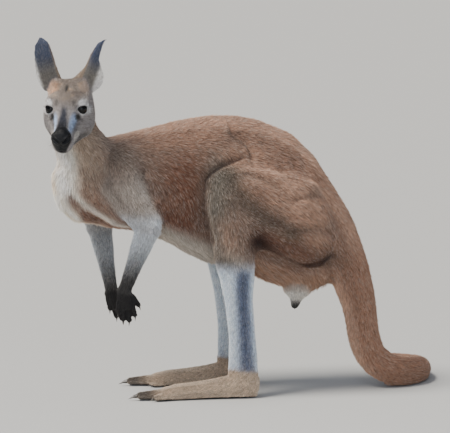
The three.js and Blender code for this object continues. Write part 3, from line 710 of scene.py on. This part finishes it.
# Painted shade: a blue-grey stripe along the groove down the outside of each shank.
for one in both_sides(SHANK_GROOVE + [(208, 12, 40)]):
    gap, _, _ = along(points, one)
    paint(SHANK_GROOVE_SHADE, ramp(gap, .032, .008) * ramp(z, 370, 320))
paint(FOOT, mass["foot"] * ramp(z, 110, 60))
paint(SOOT, mass["foot"] * ramp(y, -205, -262) * .8)
# The tail, the painted shade in the beds of the folds, and the scrotum. A broad bed is a ribbon, a fine one
# fades at both ends.
tail = mass["tail_root"] + mass["tail_end"]
paint(TAIL, tail)
paint(PALE_RUST, tail * ramp(-ny, .2, .9) * .8)
paint(TAIL_END, mass["tail_end"] * ramp(x, -120, -330) * .8)
BROAD = .015
creased = np.zeros(len(points))
# Painted shade: each fold's bed is darkened where shade falls in it, less so near the top of the loose fold.
for line, width, colour, amount in (
        (HAUNCH_BAND, .029, HAUNCH_SHADE, 1), (THIGH_GROOVE, .024, OLIVE_SHADE, .8), (FLANK_CREASE, .007, CREASE_SHADE, 1),
        (THIGH_EDGE, .008, CREASE_SHADE, 1), (TAIL_CREASE, .010, CREASE_SHADE, .9), (LOOSE_FOLD, .007, CREASE_SHADE, 1),
        (ARM_REAR, .009, CREASE_SHADE, .8), (RUMP_CREASE, .010, DEEP_RUST, .6),
        *((line, .010, OLIVE_SHADE, .7) for line in WRINKLES)):
    beds = [groove(points, one, width) for one in both_sides(line)]
    bed = ribbon(line, width) if width > BROAD else np.max(beds, axis=0)
    if line is LOOSE_FOLD:
        bed = bed * (1 - .7 * ramp(z, 680, 708))
    paint(colour, bed * amount)
    creased = np.maximum(creased, ribbon(line, max(width, .013)))
paint(PURSE, mass["scrotum"])
paint(SOOT, mass["scrotum"] * ramp(z, 244, 230))
# The head: a grey face, a sandy forehead, a dark stripe up the bridge between two pale ones tinted blue as
# painted skylight, pale rings round the eyes and dark lines that run back from them, and painted shade under
# the jaw. Each patch: colour, how much, where, how big.
head = mass["head"]
paint(FACE, head * ramp(hy, 10, -40))
paint(BROW, head * near(head_mm, (0, -66, 46), (70, 88, 62)))
speckled = ramp(mottle(points, .011, 4), .5, .8) * .6
paint(TAN, head * near(head_mm, (0, -60, 46), (70, 70, 50)) * speckled)
paint(ORANGE, head * near(head_mm, (-38, -50, 40), (28, 40, 28)) * (.35 + .6 * mottle(points, .009, 5)))
paint(ORANGE, head * near(head_mm, (38, -48, 44), (18, 30, 20)) * .2)
for flip in (1, -1):
    local = head_mm * (flip, 1, 1)
    for colour, amount, centre, radii in (
            (CHEEK, .6, (48, -80, -34), (18, 36, 26)), (EYE_RING, .8, (40, -104, 31), (14, 24, 9)),
            (EYE_RING, .75, (42, -102, 14), (24, 32, 24)), (EYE_RING, .6, (52, -82, 2), (12, 26, 14)),
            # The blue of the pale stripes beside the bridge is painted skylight.
            (SKYLIT_BRIDGE_SIDE, .85, (22, -158, -2), (12, 62, 24)), (MUZZLE, .6, (30, -150, -16), (12, 40, 16)),
            (SOOT, 1, (30, -126, 0), (11, 18, 13)), (SOOT, .7, (20, -112, 30), (8, 14, 12))):
        paint(colour, head * near(local, centre, radii) * amount)
    for line in ([(34, -122, -6), (40, -100, -20)], [(36, -112, -14), (46, -84, -24)],
                 [(46, -92, 0), (52, -70, -10)]):
        gap, _, _ = along(local, line)
        paint(EYE_LINE, head * np.exp(-(gap / 3.4) ** 2) * .8)
    paint(LIP, head * near(local, (27, -158, -38), (14, 40, 11)))
    paint(LIP_SHADE, head * near(local, (30, -150, -60), (12, 50, 8)) * .8)
    # Painted shade along the lower edge of the jaw.
    gap, _, _ = along(local, [(32, -132, -54), (42, -100, -58), (47, -66, -56)])
    paint(JAW_SHADE, head * np.exp(-(gap / 10) ** 2) * .8)
    gap, where, _ = along(local, MOUTH)
    paint(BLACK, head * ramp(gap, 3.8, 1.4) * ramp(where, 1, .8))
gap, where, _ = along(head_mm, [(0, -206, 2), (0, -180, 12), (0, -150, 24), (0, -124, 38)])
stripe = ramp(gap / (25 - 16 * where), 1.15, .5) * ramp(where, 1, .75)
paint(lay(np.tile(BRIDGE, (len(points), 1)), BLACK, ramp(where, .55, 0)), head * stripe)
paint(SOOT, head * near(head_mm, (-2, -70, 58), (7, 24, 22)))
paint(CHIN, head * near(head_mm, (0, -112, -84), (34, 76, 24)) * .8)
# The ears: dark behind, pale within, with a white fringe along their outer edges.
for side, flip in (("left", 1), ("right", -1)):
    ear = mass["ear"] * (hx * flip > 0)
    rise = unit(np.array(EAR_LIE[side], float))
    offset = head_mm - np.array(EAR_BASE[side])
    height = offset @ rise
    offset = offset - height[:, None] * rise
    within = ramp((offset * (normals @ np.array(HEAD_TURN))).sum(1), 1, -2)
    outwards = offset[:, 0] * flip
    paint(EAR_BACK, ear)
    paint(EAR_ROOT, ear * ramp(height, 92, 34))
    paint(EAR_INSIDE, ear * within)
    fringe = ramp(outwards - FRINGE_START[side], 9, 21)
    paint(WHITE, ear * fringe * ramp(height, 112, 84))
    paint(EAR_EDGE, ear * ramp(-outwards, 14, 20) * .7)
# Bare hide: nose, lids and soles.
pad_width = np.interp(hz, (-70, -60, -46, -26, -6, 4, 8), (0, 10, 15, 26, 25, 14, 0))
pad = ramp(np.abs(hx) - pad_width, 2.0, -1.5) * ramp(hy, -188, -196)
bare = pad * head
for side in SIDES:
    _, distance, beyond = lid_place(head_mm, side)
    rim = ramp(beyond, .36, .24) * ramp(distance, 22, 18)
    bare = np.maximum(bare, rim * (head > .3))
sole = ramp(z, 9, 4) * mass["foot"] * ramp(-nz, .4, .8)
bare = np.maximum(bare, sole)
paint(BARE, bare)


def colour_layer(mesh, name, colours):
    """The colours of a mesh's points, for its material to read."""
    layer = mesh.attributes.new(name, "FLOAT_COLOR", "POINT")
    opaque = np.column_stack([colours, np.ones(len(colours))])
    layer.data.foreach_set("color", opaque.astype(np.float32).ravel())


def number_layer(mesh, name, numbers):
    layer = mesh.attributes.new(name, "FLOAT", "POINT")
    layer.data.foreach_set("value", np.asarray(numbers, np.float32))


class Socket:
    """A value in a material's making: adding, taking away and multiplying add the Math nodes."""

    def __init__(self, tree, link):
        self.tree, self.link = tree, link

    def math(self, operation, other, swapped=False):
        pair = (other, self) if swapped else (self, other)
        return self.node("Math", {"operation": operation}, {0: pair[0], 1: pair[1]})

    def __add__(self, other):
        return self.math("ADD", other)

    def __sub__(self, other):
        return self.math("SUBTRACT", other)

    def __rsub__(self, other):
        return self.math("SUBTRACT", other, True)

    def __mul__(self, other):
        return self.math("MULTIPLY", other)

    __radd__, __rmul__ = __add__, __mul__

    def node(self, kind, settings=(), inputs=(), out=0):
        return add_node(self.tree, kind, settings, inputs, out)

    def tinted(self, colour, factor=1.0):
        """This colour multiplied by another, by this much."""
        return self.node("Mix", {"data_type": "RGBA", "blend_type": "MULTIPLY"},
                         {0: factor, 6: self, 7: colour}, out=2)

    def drive(self, shader, name):
        self.tree.links.new(self.link, shader.inputs[name])


def add_node(tree, kind, settings=(), inputs=(), out=0):
    """Any node: its settings, then the values or links of its sockets. The answer is one of its outputs."""
    made = tree.nodes.new("ShaderNode" + kind)
    for key, value in dict(settings).items():
        if key == "stops":
            for element, (position, colour) in zip(made.color_ramp.elements, value):
                element.position, element.color = position, (*colour, 1)
        else:
            setattr(made, key, value)
    for key, value in dict(inputs).items():
        if isinstance(value, Socket):
            tree.links.new(value.link, made.inputs[key])
        else:
            made.inputs[key].default_value = value
    return Socket(tree, made.outputs[out])


hide_look, tree, shader = material("hide", .75, .25)
dyed = add_node(tree, "Attribute", {"attribute_name": "coat"})
bareness = add_node(tree, "Attribute", {"attribute_name": "bare"}, out=2)
place = add_node(tree, "TexCoord", out=3)
down = add_node(tree, "TexNoise", {}, {"Vector": place, "Scale": 900, "Detail": 3})
pebbles = add_node(tree, "TexVoronoi", {"feature": "F1"}, {"Vector": place, "Scale": 900})
# Painted shade: the hide's colour is darkened where the coat covers it, and bare hide keeps its own colour.
dyed.tinted((.62, .58, .56, 1), 1.0 - bareness).drive(shader, "Base Color")
height = down * (1 - bareness) + pebbles * bareness
bump = add_node(tree, "Bump", {}, {"Strength": .5, "Distance": .0012, "Height": height})
bump.drive(shader, "Normal")
(.85 - bareness * .45).drive(shader, "Roughness")

colour_layer(hide, "coat", coat)
number_layer(hide, "bare", bare)
hide.materials.clear()
hide.materials.append(hide_look)
skin = placed("skin", hide)
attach(skin, "root")
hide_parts(*FLESH)


# The coat. Short stiff hair lies close over the hide in thin overlapping tufts, gathered in locks, dark at
# the root and paler at the tip. It is longest on the breast, belly and tail and finest on the face and feet.
# For each part: the tufts' length and width in metres, the degrees they lift and how closely they stand.
TUFTS = dict(
    trunk=(.0150, .0022, 17, 2.6), neck=(.0140, .0021, 18, 2.6), head=(.0060, .0012, 16, 2.2),
    tail_root=(.0140, .0021, 17, 2.6), tail_end=(.0120, .0020, 15, 2.6), scrotum=(.0050, .0013, 14, 2.2),
    ear=(.0048, .0011, 12, 2.2), thigh=(.0145, .0022, 16, 2.6), shank=(.0090, .0016, 14, 2.5),
    foot=(.0065, .0014, 12, 2.3), arm=(.0120, .0019, 16, 2.6), forearm=(.0095, .0016, 14, 2.5),
    hand=(.0050, .0013, 12, 2.2))
# Locks: how far apart they stand, how long they are in tufts and how strongly each tuft leans to its lock.
LOCK_SPACING, LOCK_LONG, LOCK_PULL, STRAY = .009, 1.7, .55, .10
RIDGE = .34  # how high a tuft stands at its root, in its own widths
ROOT_SHADE, TIP_SHADE = .58, 1.22
GRIZZLED, GRIZZLE_SHARE = .22, .4  # how many tufts have pale tips, and how pale
BARE_FROM = .35  # no tufts grow where the hide is barer than this
COAT_PIECES = {"coat_flank_left": (("trunk",), 1), "coat_flank_right": (("trunk",), -1),
               "coat_thigh_left": (("thigh",), 1), "coat_thigh_right": (("thigh",), -1),
               "coat_neck": (("neck", "scrotum"), 0), "coat_head": (("head",), 0), "coat_ears": (("ear",), 0),
               "coat_tail": (("tail_root", "tail_end"), 0), "coat_arm_left": (("arm", "forearm", "hand"), 1),
               "coat_arm_right": (("arm", "forearm", "hand"), -1), "coat_leg_left": (("shank", "foot"), 1),
               "coat_leg_right": (("shank", "foot"), -1)}
PATCH = .003  # how wide a tuft's patch is on its map
GRIZZLE = dye(214, 206, 196)  # the pale tips of some of the tufts
SUNK = .0006  # how deep a tuft's root is set in the hide, in metres
IN_BOX = .0002  # how far inside the animal's own box the tips stay


tuft_long, tuft_wide, tuft_lift, tuft_close = (
    by_part(dict(zip(TUFTS, column)), 6) for column in zip(*TUFTS.values()))
tuft_long *= 1 + .35 * breast + .3 * ramp(z - belly_line, 0, -30) * mass["trunk"]
short = np.ones(len(points))
for flip in (1, -1):
    short = np.minimum(short, 1 - .5 * near(head_mm, (38 * flip, -106, 14), (30, 34, 30)))
short = np.minimum(short, 1 - .45 * head * ramp(hy, -130, -200))
short = np.minimum(short, 1 - .6 * creased)
tuft_long, tuft_wide = tuft_long * short, tuft_wide * (1 + short) / 2

hide.calc_loop_triangles()
triangles = rows_of(hide.loop_triangles, "vertices", 3, np.int32)
corner = points[triangles]
triangle_area = np.linalg.norm(np.cross(corner[:, 1] - corner[:, 0], corner[:, 2] - corner[:, 0]), axis=1) / 2
triangle_owner = owners[triangles[:, 0]]
triangle_part = np.array(part_of)[triangle_owner]
on_left = np.array([name.endswith("_left") for name in owner_names])[triangle_owner]
triangle_side = np.sign(corner[:, :, 0].mean(1) - middle(corner[:, :, 1].mean(1)))


def unwrapped(chosen):
    """Where the corners of these triangles of the hide come on a flat map of them."""
    sheet = bpy.data.meshes.new("sheet")
    sheet.from_pydata(points, [], triangles[chosen].tolist())
    ob = placed("sheet", sheet)
    bpy.context.view_layer.objects.active = ob
    ob.select_set(True)
    bpy.ops.object.mode_set(mode="EDIT")
    bpy.ops.mesh.select_all(action="SELECT")
    bpy.ops.uv.smart_project(angle_limit=math.radians(70), island_margin=.006)
    bpy.ops.object.mode_set(mode="OBJECT")
    flat = rows_of(sheet.uv_layers.active.data, "uv", 2)
    bpy.data.objects.remove(ob)
    bpy.data.meshes.remove(sheet)
    return flat.reshape(-1, 3, 2)


def flecked(name, finish, scale, tones, detail=2, dyed=False):
    """A material of two tones broken up by noise, over the dyed colours if there are any. The shader and the
    noise follow it."""
    made, tree, shader = material(name, *finish)
    place = add_node(tree, "TexCoord", out=3)
    grain = add_node(tree, "TexNoise", {}, {"Vector": place, "Scale": scale, "Detail": detail})
    tone = add_node(tree, "ValToRGB", {"stops": tones}, {0: grain})
    if dyed:
        tone = add_node(tree, "Attribute", {"attribute_name": "coat"}).tinted(tone)
    tone.drive(shader, "Base Color")
    return made, shader, grain


DARK_HAIR, PALE_HAIR = (.78, .76, .74), (1.16, 1.15, 1.14)
coat_look, _, _ = flecked("coat", (.7, .3, .12), 420, ((.3, DARK_HAIR), (.7, PALE_HAIR)), dyed=True)
chance = np.random.default_rng(11)
for piece_name, (parts, piece_side) in COAT_PIECES.items():
    chosen = np.isin(triangle_part, parts)
    if piece_side:
        part_side = np.where(triangle_part == "trunk", triangle_side, np.where(on_left, 1, -1))
        chosen &= part_side == piece_side
    chosen = np.flatnonzero(chosen)
    flat_map = unwrapped(chosen)
    ids = triangles[chosen]
    density = 2 * tuft_close[ids].mean(1) / (tuft_long[ids].mean(1) * tuft_wide[ids].mean(1))
    count = np.floor(triangle_area[chosen] * density + chance.random(len(chosen))).astype(int)
    rows = np.repeat(np.arange(len(chosen)), count)
    share = chance.dirichlet((1, 1, 1), len(rows))
    kept = (bare[ids[rows]] * share).sum(1) < BARE_FROM
    rows, share = rows[kept], share[kept]
    number = len(rows)

    def at_root(values):
        picked = values[ids[rows]]
        return (picked * (share[:, :, None] if picked.ndim == 3 else share)).sum(1)

    root, up, way = at_root(points), at_root(normals), at_root(ways)
    up = unit(up)
    long, wide = at_root(tuft_long), at_root(tuft_wide)
    # Locks: a few of the roots lead, and their neighbours lean towards the leader's tip.
    leaders = chance.random(number) < np.minimum(.5, (long * wide * .9) / (LOCK_SPACING * long * 1.1))
    leaders[0] = True
    leader_ids = np.flatnonzero(leaders)
    tree_of_leaders = KDTree(len(leader_ids))
    for order, i in enumerate(leader_ids):
        tree_of_leaders.insert(root[i], order)
    tree_of_leaders.balance()
    lock = np.array([tree_of_leaders.find(p)[1] for p in root])
    lock_tip = root[leader_ids] + way[leader_ids] * (LOCK_LONG * long[leader_ids])[:, None]
    way = way + LOCK_PULL * unit(lock_tip[lock] - root) + chance.normal(0, STRAY, (number, 3))
    way = unit(laid_down(way, up))
    lock_tone = chance.normal(0, 1, len(leader_ids))[lock]
    across = np.cross(up, way)
    long = long * chance.uniform(.75, 1.15, number)
    rise = np.radians(at_root(tuft_lift) * chance.uniform(.7, 1.25, number) * (1 + .18 * lock_tone))
    tip = root + way * (long * np.cos(rise))[:, None] + up * (long * np.sin(rise))[:, None]
    sunk = root - up * SUNK
    half = across * (wide / 2)[:, None]
    ridge = root + up * (wide * RIDGE)[:, None]
    spots = np.stack([sunk - half, sunk + half, ridge, tip], 1).reshape(-1, 3)
    spots = np.clip(spots, BOX_LOW + IN_BOX, BOX_HIGH - IN_BOX)
    faces = np.array([(0, 2, 3), (2, 1, 3), (0, 3, 1), (0, 1, 2)])
    faces = (faces[None] + 4 * np.arange(number)[:, None, None]).reshape(-1, 3)
    tufts = bpy.data.meshes.new(piece_name)
    tufts.from_pydata(spots, [], faces.tolist())
    tufts.shade_flat()
    base = at_root(coat)
    strength = 1 + .13 * lock_tone + chance.normal(0, .10, number)
    base = base * np.clip(strength, .5, 1.5)[:, None]
    grizzle = (chance.random(number) < GRIZZLED) * GRIZZLE_SHARE
    pale = lay(base, GRIZZLE, grizzle * ramp(base.mean(1), .03, .12))
    at_tip, low_down = np.clip(pale * TIP_SHADE, 0, 1), base * ROOT_SHADE
    colours = np.stack([low_down, low_down, low_down * 1.25, at_tip], 1).reshape(-1, 3)
    colour_layer(tufts, "coat", colours)
    flat_root = (flat_map[rows] * share[:, :, None]).sum(1)
    patch = np.array([(-.5, -.5), (.5, -.5), (0, -.2), (0, .5)]) * PATCH
    patch_places = flat_root[:, None] + patch[None]
    bake_map = tufts.uv_layers.new(name="OFBake")
    bake_map.data.foreach_set("uv", patch_places.reshape(-1, 2)[faces.ravel()].astype(np.float32).ravel())
    tufts.materials.append(coat_look)
    piece = placed(piece_name, tufts)
    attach(piece, "root")


# The eyes: dark wet balls with a brown iris and a wide pupil, set behind the lids. They are glass domes over
# a painted back, as in a mounted animal.
DARK_FLECK, PALE_FLECK = (.8, .8, .8), (1.2, 1.2, 1.2)
glass, _, _ = flecked("eyeball", (.05, .25), 1400, ((.3, DARK_FLECK), (.7, PALE_FLECK)), dyed=True)
for side in SIDES:
    looks, outer_corner, up = lid_axes(side)
    globe = bmesh.new()
    bmesh.ops.create_uvsphere(globe, u_segments=48, v_segments=32, radius=EYE_RADIUS * .99,
                              matrix=Matrix.Translation(EYES[side]))
    eyeball = bpy.data.meshes.new(f"eyeball_{side}")
    globe.to_mesh(eyeball)
    globe.free()
    eyeball.shade_smooth()
    around = (points_of(eyeball) - np.array(EYES[side])) @ np.array(HEAD_TURN) / EYE_RADIUS
    across, above = around @ outer_corner, around @ up
    ahead = around @ looks > 0
    colours = np.tile(dye(22, 17, 15), (len(around), 1))
    colours = lay(colours, dye(40, 27, 20), ramp(np.hypot(across, above), .80, .72) * ahead)
    colours = lay(colours, dye(5, 5, 6), ramp(np.hypot(across / .76, above / .66), 1.1, .95) * ahead)
    colour_layer(eyeball, "coat", colours)
    eyeball.materials.append(glass)
    eye = placed(f"eyeball_{side}", eyeball)
    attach(eye, "root")
    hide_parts(f"eye_{side}")


# The claws: solid black horn, a little worn and paler in patches. They grow out of the toes and fingers and
# keep their own shapes.
HORN, WORN_HORN = dye(26, 23, 22), dye(72, 62, 54)
horn, shader, grain = flecked("horn", (.38, .5), 160, ((.35, HORN), (.75, WORN_HORN)), detail=4)
bump = grain.node("Bump", {}, {"Strength": .3, "Distance": .0006, "Height": grain})
bump.drive(shader, "Normal")
for name, node in nodes.items():
    if name.startswith("claw_"):
        node.data.materials.clear()
        node.data.materials.append(horn)


# The whiskers and lashes: single stiff dark hairs, each a thin curved cone rooted in the lips, the brow and
# the upper lids.
BRISTLE, PALE_BRISTLE = dye(30, 27, 26), dye(58, 52, 48)
whisker_look, _, _ = flecked("whisker", (.45, .4), 300, ((.4, BRISTLE), (.7, PALE_BRISTLE)))
hide_tree = BVHTree.FromPolygons([tuple(p) for p in points], triangles.tolist())
hairs = []  # root, way, droop, length and radius, in millimetres of the head's axes
for flip in (1, -1):
    for row in range(3):
        for column in range(5):
            way = (flip, -.1 + .16 * column, -.25 - .2 * row)
            root = ((24 - column) * flip, -200 + 11 * column, -40 - 6 * row)
            hairs.append((root, way, .25, 17 + 3 * column, .22))
    for column in range(3):
        root = ((34 + 3 * column) * flip, -104 + 5 * column, 38)
        hairs.append((root, (.5 * flip, -.5, .8), .1, 12, .22))
LASHES = 13
for side in SIDES:
    looks, outer_corner, up = lid_axes(side)
    for step in range(LASHES):
        turn = math.radians(-62 + 124 * step / (LASHES - 1))
        angle = math.radians(OPEN_UP + 4)
        around_lid = up * math.cos(turn) + outer_corner * math.sin(turn) * 1.25
        edge = looks * math.cos(angle) + around_lid * math.sin(angle)
        root = in_head([EYES[side]])[0] + edge / np.linalg.norm(edge) * (EYE_RADIUS * 1000 + LID * 1000 * .5)
        hairs.append((tuple(root), tuple(edge + looks * .9), -.25, 9, .3))
hair_points, hair_faces = [], []
RINGS, AROUND = 5, 3
for root, way, droop, long, thick in hairs:
    root, way = from_head(*root), (HEAD_TURN @ Vector(way)).normalized()
    hit = hide_tree.find_nearest(root)[0]
    if (hit - root).length < .02:
        root = hit - way * .0005
    turn = towards(way)
    start = len(hair_points)
    for step in range(RINGS):
        s = step / RINGS
        ring = root + way * (long * s / 1000) - Vector((0, 0, droop * long * s * s / 1000))
        for corner in range(AROUND):
            angle = corner * math.tau / AROUND
            offset = turn @ Vector((math.cos(angle), math.sin(angle), 0)) * (thick * (1 - s) / 1000)
            hair_points.append(ring + offset)
    hair_points.append(root + way * (long / 1000) - Vector((0, 0, droop * long / 1000)))
    last = start + AROUND * (RINGS - 1)
    for k in range(AROUND):
        beside = (k + 1) % AROUND
        for low in range(start, last, AROUND):
            hair_faces.append((low + k, low + beside, low + AROUND + beside, low + AROUND + k))
        hair_faces.append((last + k, last + beside, last + AROUND))
    hair_faces.append((start + 2, start + 1, start))
whisker_mesh = bpy.data.meshes.new("whiskers")
whisker_mesh.from_pydata(hair_points, [], hair_faces)
whisker_mesh.materials.append(whisker_look)
whiskers = placed("whiskers", whisker_mesh)
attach(whiskers, "root")
